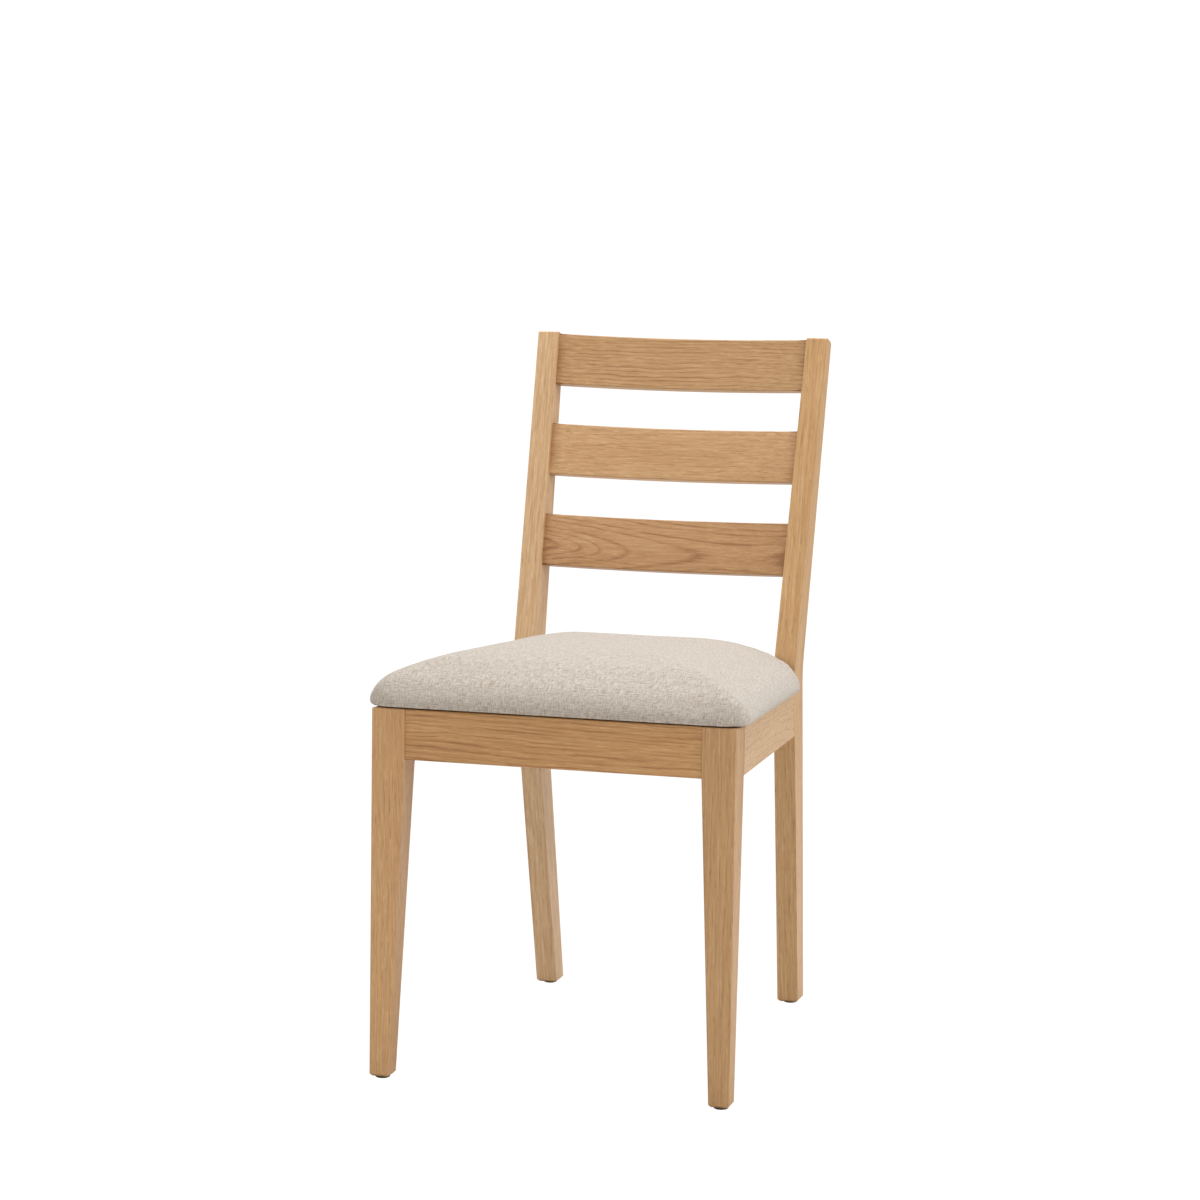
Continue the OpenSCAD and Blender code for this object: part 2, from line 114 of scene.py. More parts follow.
# ---------------------------------------------------------------- materials
class Graph:
    """The nodes of a material or of the world, and short ways to add to them."""

    def __init__(self, owner):
        owner.use_nodes = True
        self.owner = owner
        self.tree = owner.node_tree
        self.tree.nodes.clear()

    def add(self, kind, inputs=(), **settings):
        node = self.tree.nodes.new("ShaderNode" + kind)
        for key, value in settings.items():
            setattr(node, key, value)
        for key, value in dict(inputs).items():
            if isinstance(value, bpy.types.NodeSocket):
                self.tree.links.new(value, node.inputs[key])
            else:
                node.inputs[key].default_value = value
        return node

    def math(self, operation, a, b=0.0, c=0.0, clamp=False):
        node = self.add("Math", {0: a, 1: b, 2: c}, operation=operation, use_clamp=clamp)
        return node.outputs[0]

    def total(self, start, *parts):
        """start plus every part, which is a value and its weight."""
        for value, weight in parts:
            start = self.math("MULTIPLY_ADD", value, weight, start)
        return start

    def wave(self, value, length):
        return self.math("SINE", self.math("MULTIPLY", value, 2 * math.pi / length))

    def vector(self, operation, a, b=(0, 0, 0)):
        return self.add("VectorMath", {0: a, 1: b}, operation=operation).outputs

    def combine(self, x, y, z):
        return self.add("CombineXYZ", {"X": x, "Y": y, "Z": z}).outputs[0]

    def separate(self, v):
        return self.add("SeparateXYZ", {0: v}).outputs

    def noise(self, v, stretch, detail=2.0, roughness=0.5, distortion=0.0):
        """Noise from 0 to 1, with stretch cells to a metre along each axis."""
        scaled = self.vector("MULTIPLY", v, stretch)[0]
        node = self.add(
            "TexNoise",
            {
                "Vector": scaled,
                "Scale": 1.0,
                "Detail": detail,
                "Roughness": roughness,
                "Distortion": distortion,
            },
        )
        return node.outputs["Fac"]

    def remap(self, value, low, high, to_low=0.0, to_high=1.0):
        node = self.add(
            "MapRange",
            {
                "Value": value,
                "From Min": low,
                "From Max": high,
                "To Min": to_low,
                "To Max": to_high,
            },
            interpolation_type="SMOOTHSTEP",
        )
        return node.outputs[0]

    def ramp(self, value, stops):
        node = self.add("ValToRGB", {"Fac": value})
        elements = node.color_ramp.elements
        while len(elements) < len(stops):
            elements.new(0.5)
        for element, (position, colour) in zip(elements, stops):
            element.position = position
            element.color = (*colour, 1)
        return node.outputs["Color"]

    def mix(self, factor, a, b, blend="MIX"):
        """Two colours mixed, each a socket or three numbers."""
        a, b = (c if isinstance(c, bpy.types.NodeSocket) else (*c, 1) for c in (a, b))
        inputs = {0: factor, 6: a, 7: b}
        return self.add("Mix", inputs, data_type="RGBA", blend_type=blend).outputs[2]

    def bump(self, height, distance, strength=1.0):
        inputs = {"Height": height, "Distance": distance, "Strength": strength}
        return self.add("Bump", inputs).outputs[0]

    def place(self):
        """Object coordinates: every piece is drawn in place, in the shared frame."""
        return self.add("TexCoord").outputs["Object"]

    def finish(self, colour, roughness, normal, **constants):
        """Ends a material. constants are other sockets' values, with _ for a space."""
        inputs = {"Base Color": colour, "Roughness": roughness, "Normal": normal}
        for key, value in constants.items():
            inputs[key.replace("_", " ")] = value
        shader = self.add("BsdfPrincipled", inputs)
        self.add("OutputMaterial", {"Surface": shader.outputs[0]})
        return self.owner

    def white_to_camera(self, shader, white):
        """shader as light and reflections meet it, white as the camera does."""
        seen = self.add("LightPath").outputs["Is Camera Ray"]
        mixed = self.add("MixShader", {0: seen, 1: shader, 2: white})
        return mixed.outputs[0]


def new_material(name):
    """An empty material, ready for its nodes."""
    return Graph(bpy.data.materials.new(name))


# Noise cells to a metre, along the grain and twice across it
WANDER, RIPPLE, BROAD = (3.0, 11, 11), (24, 70, 70), (2.2, 22, 22)
PATCHES, FIBRES = (14, 120, 120), (19, 430, 430)
PORES, RAYS = (62, 760, 760), (85, 560, 560)
# How far wander and ripple push the rings, and how far the rest move the tone
WANDER_BY, RIPPLE_BY = 26 * MM, 5 * MM
CLEAR_TONE, FIBRE_TONE, BROAD_TONE, RAY_TONE = 0.52, 1.15, 0.5, 0.14
PORE_COLOUR = (0.25, 0.13, 0.055)
POST_HALF_DEPTH = 15 * MM
OAK_STOPS = [
    (0.0, (0.34, 0.172, 0.070)),
    (0.35, (0.455, 0.256, 0.113)),
    (0.6, (0.535, 0.321, 0.153)),
    (1.0, (0.66, 0.437, 0.238)),
]
GRAIN_AXES = {"X": "XZY", "Y": "YZX", "Z": "ZXY"}

BIRCH_STOPS = [(0.25, (0.5, 0.36, 0.2)), (0.75, (0.74, 0.6, 0.4))]
PLY_H = 2 * MM

LINEN_STOPS = [
    (0.2, (0.26, 0.216, 0.174)),
    (0.45, (0.405, 0.354, 0.304)),
    (0.6, (0.48, 0.435, 0.385)),
    (0.85, (0.605, 0.566, 0.515)),
]
WEAVE_REPEAT, WAVER = 1.15 * MM, 1.2 * MM
# Noise cells to a metre, across and along a thread
THREADS, SLUBS = (880, 95), (900, 110)
DOT_STEP = 2.6 * MM


def grain_point(g, node, along):
    """Distances from a piece's middle, along the grain and twice across it.

    The rear posts' bend is taken out, so that their grain follows it."""
    x, y, z = g.separate(g.place())
    middle = centre_of(node)
    if node.startswith("rear_post"):
        above = g.math("MAXIMUM", g.math("SUBTRACT", z, KNEE_Z), 0.0)
        below = g.math("MAXIMUM", g.math("SUBTRACT", KNEE_Z, z), 0.0)
        y = g.total(y, (above, -math.tan(RECLINE)), (below, -math.tan(RAKE)))
        middle.y = KNEE_Y + POST_HALF_DEPTH
    sockets = {"X": (x, middle.x), "Y": (y, middle.y), "Z": (z, middle.z)}
    return [g.math("SUBTRACT", *sockets[axis]) for axis in GRAIN_AXES[along]]


def growth_rings(g, point, seeded, seed, pith, spacing, flame):
    """How late in its year's ring the wood grew, from 0 to 1."""
    u, v, w = point
    wander, ripple = g.noise(seeded, WANDER), g.noise(seeded, RIPPLE)
    start = -(WANDER_BY + RIPPLE_BY) / 2
    shift = g.total(start, (wander, WANDER_BY), (ripple, RIPPLE_BY))
    ring_v = g.math("ADD", g.math("ADD", v, pith[0] * MM), shift)
    ring_w = g.total(pith[1] * MM, (u, flame), (w, 1.0))
    radius = g.vector("LENGTH", g.combine(0.0, ring_v, ring_w))[1]
    uneven = g.noise(g.combine(radius, seed, 0.0), (95, 1, 1))
    turns = g.total(g.math("DIVIDE", radius, spacing * MM), (uneven, 2.4))
    phase = g.math("FRACT", turns)
    opening, closing = g.remap(phase, 0.0, 0.32), g.remap(phase, 1.0, 0.86, 0.35, 1.0)
    return g.math("MULTIPLY", opening, closing)


def oak(node, along, pith, spacing, tint_and_painted_sheen, flame, contrast):
    """Lacquered oak: rings round a pith beside the piece, open pores and fibre.

    along is the grain's axis, pith the offset of the tree's middle in mm across
    the two other axes, spacing the rings' in mm, flame how far the rings lean
    along the grain, and contrast how dark the porous line of each ring is."""
    g = new_material("oak_" + node)
    point = grain_point(g, node, along)
    seed = sum(ord(c) for c in node) * 0.37
    seeded = g.vector("ADD", g.combine(*point), (seed, seed * 0.61, seed * 0.23))[0]
    late = growth_rings(g, point, seeded, seed, pith, spacing, flame)

    fibre, broad = g.noise(seeded, FIBRES, 3.0, 0.68), g.noise(seeded, BROAD)
    rays = g.remap(g.noise(seeded, RAYS, 0.0), 0.62, 0.76)
    patchy = g.remap(g.noise(seeded, PATCHES), 0.38, 0.6, 0.4, 1.0)
    line = g.math("MULTIPLY", g.math("SUBTRACT", 1.0, late), patchy)
    pores = g.remap(g.noise(seeded, PORES, 1.0), 0.57, 0.72)
    pores = g.math("MULTIPLY", pores, g.math("SUBTRACT", 1.45, late), clamp=True)

    tone = g.total(
        CLEAR_TONE - (FIBRE_TONE + BROAD_TONE) / 2,
        (line, -contrast),
        (fibre, FIBRE_TONE),
        (broad, BROAD_TONE),
        (rays, RAY_TONE),
    )
    colour = g.ramp(tone, OAK_STOPS)
    colour = g.mix(g.math("MULTIPLY", pores, 0.5), colour, PORE_COLOUR)
    # Multiplies by the piece's tint: its own tone, but on rear_post_left a painted sheen
    # that lightens and cools the colour
    colour = g.mix(1.0, colour, tint_and_painted_sheen, "MULTIPLY")
    rough = g.total(0.36, (fibre, 0.16), (pores, 0.12))
    normal = g.bump(g.total(0.0, (fibre, 0.35), (pores, -1.0)), 0.12 * MM, 0.6)
    return g.finish(colour, rough, normal, Specular_IOR_Level=0.42)


def birch_wood(name, stretch, plies=False):
    """Birch for the blocks and dowels, or as plywood: an unlacquered fine grain."""
    g = new_material(name)
    p = g.place()
    fibre = g.noise(p, stretch, 3.0, 0.6)
    fleck = g.remap(g.noise(p, tuple(2.3 * s for s in stretch), 1.0), 0.6, 0.72)
    tone = g.total(fibre, (fleck, -0.2))
    if plies:
        _, y, z = g.separate(p)
        rise = g.total(z, (y, math.tan(SEAT_SLOPE)))
        ply = g.math("FRACT", g.math("DIVIDE", rise, 2 * PLY_H))
        tone = g.total(tone, (g.remap(ply, 0.45, 0.55), -0.3))
    rough = g.total(0.6, (fibre, 0.15))
    return g.finish(g.ramp(tone, BIRCH_STOPS), rough, g.bump(tone, 0.1 * MM, 0.5))


def linen():
    """A plain weave of uneven beige threads, with slubs both ways."""
    g = new_material("linen_weave")
    cloth = g.add("Attribute", attribute_name="cloth").outputs["Vector"]
    waver = g.total(-WAVER / 2, (g.noise(cloth, (18, 18, 18), 1.0), WAVER))
    waves, threads, slubs = [], [], []
    for way, turn in zip(g.separate(cloth), (1, -1)):
        waves.append(g.wave(g.math("ADD", way, waver), WEAVE_REPEAT))
        threads.append(g.noise(cloth, (*THREADS[::turn], 1), 2.0, 0.75))
        slubs.append(g.remap(g.noise(cloth, (*SLUBS[::turn], 1), 1.0), 0.60, 0.74))
    over, slub = g.math("MULTIPLY", *waves), g.math("MAXIMUM", *slubs)
    mottle = g.noise(cloth, (150, 150, 1), 3.0, 0.6)
    # Each thread's noise is about 0.5 on average, and the start takes one of them off
    parts = [(thread, 1.0) for thread in threads]
    tone = g.total(-0.52, *parts, (mottle, 0.04), (over, 0.05), (slub, 0.16))
    height = g.total(0.0, (tone, 0.8), (over, 0.35), (slub, 0.35))
    normal = g.bump(height, 0.22 * MM, 0.8)
    sheen = {"Sheen_Weight": 0.25, "Sheen_Roughness": 0.5}
    colour = g.ramp(tone, LINEN_STOPS)
    return g.finish(colour, 0.92, normal, Specular_IOR_Level=0.2, **sheen)


def dust_cloth():
    """Black non-woven cloth: random fibres pressed flat, with a dotted bond."""
    g = new_material("dust_cloth")
    p = g.place()
    fibres = g.noise(p, (900, 900, 900), 3.0, 0.7, 1.5)
    x, y, _ = g.separate(p)
    dots = g.math("MULTIPLY", g.wave(x, DOT_STEP), g.wave(y, DOT_STEP))
    tone = g.total(fibres, (dots, 0.12))
    colour = g.ramp(tone, [(0.3, (0.012, 0.012, 0.013)), (0.75, (0.05, 0.05, 0.052))])
    return g.finish(colour, 0.85, g.bump(tone, 0.2 * MM, 0.8), Sheen_Weight=0.15)


def plastic():
    """The glides' dark brown plastic, scuffed paler here and there."""
    g = new_material("glide_plastic")
    grain = g.noise(g.place(), (1800, 1800, 1800))
    scuff = g.remap(g.noise(g.place(), (260, 260, 60), 3.0, 0.7), 0.55, 0.75)
    colour = g.mix(scuff, (0.05, 0.04, 0.033), (0.1, 0.085, 0.07))
    rough = g.total(0.5, (scuff, 0.2))
    return g.finish(colour, rough, g.bump(grain, 0.05 * MM, 0.6))


def steel():
    """Zinc-plated steel, faintly drawn along z."""
    g = new_material("zinc_steel")
    brush = g.noise(g.place(), (2500, 2500, 500), 3.0, 0.6)
    colour = g.ramp(brush, [(0.3, (0.42, 0.42, 0.41)), (0.7, (0.66, 0.66, 0.64))])
    rough = g.total(0.28, (brush, 0.25))
    return g.finish(colour, rough, g.bump(brush, 0.02 * MM, 0.5), Metallic=1.0)


# ------------------------------------------------------------- wooden pieces
WELD, FLAT_ANGLE = 0.01 * MM, math.radians(0.8)
EDGE_ANGLE, EDGE_LENGTH = math.radians(25), 0.3 * MM
END_FACING = 0.9
OAK_EASE, BLOCK_EASE = 1.8 * MM, 1 * MM
# How a hole's rim is felt for: a ray from a little behind the edge, along a face's
# normal and just off the face, meets the hole's far wall within this reach
BEHIND, OFF_FACE, HOLE_REACH = 0.4 * MM, 0.05 * MM, 60 * MM


def outward_free(tree, edge):
    """False on the rim of a hole, where another wall faces the edge close by."""
    middle = (edge.verts[0].co + edge.verts[1].co) / 2
    one, two = (f.normal for f in edge.link_faces)
    for here, other in ((one, two), (two, one)):
        start = middle - other * BEHIND + here * OFF_FACE
        if tree.ray_cast(start, here, HOLE_REACH)[0] is not None:
            return False
    return True


def is_outer_edge(tree, edge, ends):
    """Whether an edge is one to round. ends is the axis that the end faces cross."""
    if len(edge.link_faces) != 2 or edge.calc_face_angle() < EDGE_ANGLE:
        return False
    if not edge.is_convex or edge.calc_length() < EDGE_LENGTH:
        return False
    normals = [f.normal for f in edge.link_faces]
    if ends is not None and any(abs(n[ends]) > END_FACING for n in normals):
        return False
    return outward_free(tree, edge)


def eased(node, material, width, ends=None):
    """A copy of a CAD node with its outer edges rounded, which replaces it.

    ends is the axis that its end faces cross: those meet another piece, and
    their edges stay sharp."""
    bm = bmesh.new()
    bm.from_mesh(frame["nodes"][node].data)
    bmesh.ops.remove_doubles(bm, verts=bm.verts, dist=WELD)
    bmesh.ops.dissolve_limit(bm, angle_limit=FLAT_ANGLE, verts=bm.verts, edges=bm.edges)
    bm.normal_update()
    tree = BVHTree.FromBMesh(bm)
    bmesh.ops.bevel(
        bm,
        geom=[edge for edge in bm.edges if is_outer_edge(tree, edge, ends)],
        offset=width,
        offset_type="OFFSET",
        segments=3,
        profile=0.5,
        affect="EDGES",
        clamp_overlap=True,
    )
    piece = new_object(node + "_wood", bm)
    shade_smooth(piece.data)
    paint(piece, material)
    weighted = piece.modifiers.new("even shading", "WEIGHTED_NORMAL")
    weighted.keep_sharp = False
    weighted.weight = 90
    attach(piece, "root")
    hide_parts(node)


# node: grain's axis, pith (mm), ring spacing (mm), tint (a tone of its own, on
# rear_post_left a painted sheen), flame, contrast
OAK_PIECES = {
    "front_leg_left": ("Z", (95, 60), 4.2, (1.02, 0.995, 0.96), 0.0, 0.16),
    "front_leg_right": ("Z", (-70, 95), 3.8, (0.875, 0.855, 0.80), 0.0, 0.18),
    # This tint is a painted sheen: it lightens and cools the whole post's colour as
    # glare off its lacquer would
    "rear_post_left": ("Z", (120, 45), 4.0, (1.14, 1.26, 1.48), 0.0, 0.14),
    "rear_post_right": ("Z", (80, -100), 4.4, (1.0, 1.01, 0.98), 0.0, 0.14),
    "front_rail": ("X", (88, 42), 6.0, (0.96, 0.896, 0.783), 0.05, 0.50),
    "rear_rail": ("X", (70, -60), 5.0, (0.95, 0.94, 0.92), 0.0, 0.30),
    "side_rail_left": ("Y", (60, 70), 4.6, (1.0, 1.0, 1.0), 0.03, 0.20),
    "side_rail_right": ("Y", (52, -66), 4.8, (1.02, 1.08, 1.12), 0.04, 0.20),
    "slat_top": ("X", (110, 40), 5.0, (0.89, 0.886, 0.89), 0.02, 0.50),
    "slat_middle": ("X", (150, -30), 5.4, (1.015, 1.033, 1.083), 0.0, 0.14),
    "slat_bottom": ("X", (4, 38), 6.2, (0.93, 0.905, 0.925), 0.09, 0.55),
}
for node, (along, *figure) in OAK_PIECES.items():
    # Legs and posts stand free at both ends, and the rest run between two of them
    joined = None if along == "Z" else "XY".index(along)
    eased(node, oak(node, along, *figure), OAK_EASE, ends=joined)

birch = birch_wood("birch", (30, 500, 500))
plywood = birch_wood("plywood", (14, 260, 260), plies=True)
for corner in CORNERS:
    eased("corner_block_" + corner, birch, BLOCK_EASE)


# ------------------------------------------------------------------ cushion
# It is drawn level, with z = 0 at the seat frame's top, until from_seat tilts it.
# Its outline in plan
OVERHANG, TUCK = 5 * MM, 0.2 * MM
PAD_FRONT = FRONT_Y - OVERHANG
PAD_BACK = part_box("rear_rail")[1].y - 1 * MM
SIDE_SWELL, BACK_SWELL = 2.7 * MM, 5.5 * MM
CORNER_R, LEAST_R, CORNER_STEPS = 30 * MM, 5 * MM, 8
# Its section: a small round under the edge, a large one over it, and the crown
UNDER, UNDER_TURNS = 6 * MM, (0, 25, 45, 65, 80)
EDGE_H, EDGE_R, CROWN_H = 6.5 * MM, 31.5 * MM, 30 * MM
CROWN_ACROSS, CROWN_ALONG = 2.6, 8
RING_INSETS = (0, 0.3, 1, 2.5, 5, 9, 14, 20, 26, 33, 44, 60, 85, 115, 150, 185, 205)
# The notches for the posts, whose walls lean back from KNEE_RISE up
NOTCH_X, NOTCH_Y = 158.5 * MM, KNEE_Y - 2.5 * MM
KNEE_RISE, POST_LEAN = 30 * MM, math.tan(math.radians(11.5))
NOTCH_LOW, NOTCH_HIGH, NOTCH_PAST = -50 * MM, 120 * MM, 60 * MM
# mm outwards from the cushion's side and backwards from the notch's wall
REAR_CORNER = ((-6, 0), (-3.2, -0.7), (-1.3, -2.2), (-0.3, -4.5), (2, -8), (60, -8))
SHOULDER_R, SHOULDER_DROP = 14 * MM, 0.04
VOXEL = 4.5 * MM


def pad_half(y, inset=0.0):
    """Half the cushion's width: it swells past the rails a little more to the back."""
    back = (y - FRONT_Y) / POST_SET
    return side_x(y, inset - OVERHANG - (SIDE_SWELL + BACK_SWELL * back))


def rounded_ring(inset):
    """The seat's outline moved inwards, with round corners."""
    front, back = PAD_FRONT + inset, PAD_BACK - inset
    r = max(CORNER_R - inset, LEAST_R)
    half_f, half_b = pad_half(front, inset), pad_half(back, inset)
    ring = []
    for x, y, start in ((half_f - r, front + r, -90), (half_b - r, back - r, 0)):
        for step in range(CORNER_STEPS + 1):
            a = math.radians(start + step * 90 / CORNER_STEPS)
            ring.append((x + r * math.cos(a), y + r * math.sin(a)))
    return ring + [(-x, y) for x, y in reversed(ring)]


def bridge(bm, rings):
    """Skins rings of points and closes both ends."""
    loops = [[bm.verts.new(p) for p in ring] for ring in rings]
    for a, b in zip(loops, loops[1:]):
        for i in range(len(a)):
            j = (i + 1) % len(a)
            bm.faces.new((a[i], a[j], b[j], b[i]))
    bm.faces.new(list(reversed(loops[0])))
    bm.faces.new(loops[-1])


def applied(obj):
    """Its mesh with every modifier applied, as a new mesh."""
    graph = bpy.context.evaluated_depsgraph_get()
    graph.update()
    return bpy.data.meshes.new_from_object(obj.evaluated_get(graph))


def round_off(share):
    """A quarter circle's height, 1 in the middle (0) and 0 at its edge (1)."""
    return math.sqrt(1 - min(share, 1) ** 2)


def crown(x, y, inset):
    """Height of the seat's top: a round edge, then a flat dome, lower at the posts."""
    middle, half = (PAD_FRONT + PAD_BACK) / 2, (PAD_BACK - PAD_FRONT) / 2
    across = 1 - min(abs(x / pad_half(y)), 1) ** CROWN_ACROSS
    along = 1 - min(abs((y - middle) / half), 1) ** CROWN_ALONG
    edge = EDGE_R * round_off(1 - min(inset / EDGE_R, 1))
    rise = edge + CROWN_H * across * along
    lean = POST_LEAN * (rise - KNEE_RISE)
    clear = max(NOTCH_X - abs(x), NOTCH_Y + lean - y) / SHOULDER_R
    shoulder = 1 - SHOULDER_DROP * (1 - round_off(1 - max(0, min(clear, 1))))
    return EDGE_H + rise * shoulder


def notch_outline(lean):
    """What the right post takes, its front moved back by lean.

    Beside the post it also rounds off the cushion's rear corner."""
    edge, wall = pad_half(NOTCH_Y), NOTCH_Y - TUCK + lean
    inner, back = NOTCH_X - TUCK, PAD_BACK + NOTCH_PAST
    corner = [(edge + x * MM, wall + y * MM) for x, y in REAR_CORNER]
    return [(inner, wall), *corner, (edge + NOTCH_PAST, back), (inner, back)]


def notch_cutter():
    bm = bmesh.new()
    for side in (-1, 1):
        walls = []
        for z in (NOTCH_LOW, KNEE_RISE, NOTCH_HIGH):
            outline = notch_outline(POST_LEAN * max(0, z - KNEE_RISE))
            walls.append([(side * x, y, z) for x, y in outline])
        bridge(bm, walls)
    bmesh.ops.recalc_face_normals(bm, faces=bm.faces)
    return new_object("notch_cutter", bm)


def cushion_start():
    """The crowned seat with its post notches, remeshed, drawn level at z = 0."""
    bm = bmesh.new()
    rings = []
    for turn in UNDER_TURNS:
        a = math.radians(turn)
        ring = rounded_ring(TUCK + UNDER * (1 - math.sin(a)))
        rings.append([(x, y, EDGE_H * (1 - math.cos(a))) for x, y in ring])
    for inset in RING_INSETS:
        ring = rounded_ring(TUCK + inset * MM)
        rings.append([(x, y, crown(x, y, inset * MM)) for x, y in ring])
    bridge(bm, rings)
    pad = new_object("cushion_start", bm)
    cutter = notch_cutter()
    cut = pad.modifiers.new("notches", "BOOLEAN")
    cut.operation, cut.object, cut.solver = "DIFFERENCE", cutter, "EXACT"
    grid = pad.modifiers.new("grid", "REMESH")
    grid.mode, grid.voxel_size = "VOXEL", VOXEL
    smooth = pad.modifiers.new("round", "SMOOTH")
    smooth.factor, smooth.iterations = 0.5, 3
    pad.data = applied(pad)
    pad.modifiers.clear()
    bpy.data.objects.remove(cutter)
    return pad


SWELL_CAP, HELD_BELOW, CLOTH_FRAMES = 6 * MM, 3.5 * MM, 20
EVEN_PASSES, EVEN_SHARE = 16, 0.6


def inflated(pad):
    """Where cloth under pressure, held at its underside, takes the vertices."""
    held = pad.vertex_groups.new(name="held")
    low = [v.index for v in pad.data.vertices if v.co.z < HELD_BELOW]
    held.add(low, 1.0, "REPLACE")
    cloth = pad.modifiers.new("cloth", "CLOTH")
    s = cloth.settings
    s.quality, s.mass = 5, 0.3
    s.tension_stiffness = s.compression_stiffness = 30
    s.shear_stiffness, s.bending_stiffness = 15, 3
    s.use_pressure, s.uniform_pressure_force = True, 4
    s.effector_weights.gravity = 0
    s.vertex_group_mass = held.name
    cloth.collision_settings.use_self_collision = False
    cloth.point_cache.frame_start, cloth.point_cache.frame_end = 1, CLOTH_FRAMES
    for number in range(1, CLOTH_FRAMES + 1):
        scene.frame_set(number)
    moved = np.array([v.co for v in applied(pad).vertices])
    scene.frame_set(1)
    pad.modifiers.clear()
    pad.vertex_groups.clear()
    return moved


def swell(pad):
    """Inflates the cushion, and moves no point by more than SWELL_CAP.

    The movement is evened out along the mesh, as foam behind the cover does."""
    rest = np.array([v.co for v in pad.data.vertices])
    step = inflated(pad) - rest
    one, two = np.array([e.vertices for e in pad.data.edges]).T
    joined = np.bincount(np.append(one, two), minlength=len(rest))[:, None]
    for _ in range(EVEN_PASSES):
        nearby = np.zeros_like(step)
        np.add.at(nearby, one, step[two])
        np.add.at(nearby, two, step[one])
        step = (1 - EVEN_SHARE) * step + EVEN_SHARE * nearby / joined
    length = np.linalg.norm(step, axis=1, keepdims=True)
    share = SWELL_CAP * np.tanh(length / SWELL_CAP) / np.maximum(length, 1e-9)
    pad.data.vertices.foreach_set("co", (rest + step * share).astype(np.float32).ravel())
    pad.data.update()


# A front corner's pleats: way round it and half-width in degrees, depth in mm
PLEATS = ((28, 4.5, 1.1), (47, 4.0, 1.5), (63, 4.5, 0.9))
PLEAT_CENTRE, PLEAT_FROM, PLEAT_H = 18 * MM, 6 * MM, 24 * MM
# The weave turns down below WRAP_H, in a band along the front and sides
WRAP_H, WRAP_BAND = 30 * MM, 12 * MM
UNEVEN, UNEVEN_CELLS, UNEVEN_FROM = 0.7 * MM, 16, 10 * MM
REST_GAP, LIP_GAP, LIP_REACH = 0.25 * MM, 1.4 * MM, 12 * MM


def pleat_depth(x, y, z):
    """How far the pleats at a front corner draw a point of the cover in."""
    dx = abs(x) - (side_x(FRONT_Y) - PLEAT_CENTRE)
    dy = FRONT_Y + PLEAT_CENTRE - y
    if min(dx, dy) < -PLEAT_FROM or math.hypot(dx, dy) < PLEAT_FROM:
        return 0.0
    angle = math.degrees(math.atan2(dy, dx))
    dip = sum(d * math.exp(-(((angle - a) / w) ** 2)) for a, w, d in PLEATS)
    return dip * MM * max(0.0, 1 - z / PLEAT_H)


def place_in_weave(x, y, z):
    """Where a point of the cover is on the flat cloth."""
    drop = max(0.0, WRAP_H - z)
    if pad_half(y) - abs(x) < WRAP_BAND:
        x += math.copysign(drop, x)
    if y - PAD_FRONT < WRAP_BAND:
        y -= drop
    return x, y, 0.0


def place_on_frame(x, y, z):
    """A point of the cover, made uneven and pleated, and kept off the rails."""
    cells = Vector((x, y, z)) * UNEVEN_CELLS
    bumpy = UNEVEN * noise.noise(cells) * min(1, z / UNEVEN_FROM)
    inset = min(pad_half(y) - abs(x), y - PAD_FRONT)
    lip = LIP_GAP * min(1, math.exp(1 - inset / LIP_REACH))
    z = max(z + bumpy, REST_GAP + lip)
    inward = Vector((-math.copysign(1, x), 1, 0)).normalized()
    return from_seat(*(Vector((x, y, z)) + inward * pleat_depth(x, y, z)))


def cushion():
    pad = cushion_start()
    swell(pad)
    fine = pad.modifiers.new("fine", "SUBSURF")
    fine.levels = fine.render_levels = 1
    pad.data = applied(pad)
    pad.modifiers.clear()
    mesh = pad.data
    woven = [place_in_weave(*v.co) for v in mesh.vertices]
    cloth = mesh.attributes.new("cloth", "FLOAT_VECTOR", "POINT")
    cloth.data.foreach_set("vector", np.array(woven, np.float32).ravel())
    for v in mesh.vertices:
        v.co = place_on_frame(*v.co)
    shade_smooth(mesh)
    pad.name = "seat_cushion"
    paint(pad, linen())
    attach(pad, "root")
    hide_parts("seat_cover", "seat_foam")


cushion()


# --------------------------------------------------------------- dust cover
DUST_INSET, LEG_CLEAR = 30 * MM, 3 * MM
DUST_COLUMNS, DUST_ROWS = 96, 104
BELOW_FRAME = -0.3 * MM
# Between staples the edge is drawn up a little, and the middle sags unevenly
STAPLE_STEP, SCALLOP, SCALLOP_FADE = 50 * MM, 0.25 * MM, 12 * MM
SAG, SAG_CELLS, SAG_FROM = 0.25 * MM, 30, 30 * MM
SAG_LAYER = 3


def in_dust_plan(x, y):
    """Whether the dust cover reaches a point: it is notched at legs and posts."""
    x = abs(x)
    if x > HALF_FRONT - LEG_W - LEG_CLEAR and y < FRONT_Y + LEG_W + LEG_CLEAR:
        return False
    return not (x > NOTCH_X - DUST_INSET and y > NOTCH_Y - DUST_INSET)


def dust_height(x, y, side, end):
    """Its height at a point, side and end being how far in from its edges that is."""
    edge = min(side, end)
    along = x if end < side else y
    scallop = 0.5 - 0.5 * math.cos(2 * math.pi * along / STAPLE_STEP)
    lift = SCALLOP * math.exp(-edge / SCALLOP_FADE) * scallop
    uneven = 0.5 + 0.5 * noise.noise((x * SAG_CELLS, y * SAG_CELLS, SAG_LAYER))
    return BELOW_FRAME + lift - SAG * uneven * min(1, edge / SAG_FROM)


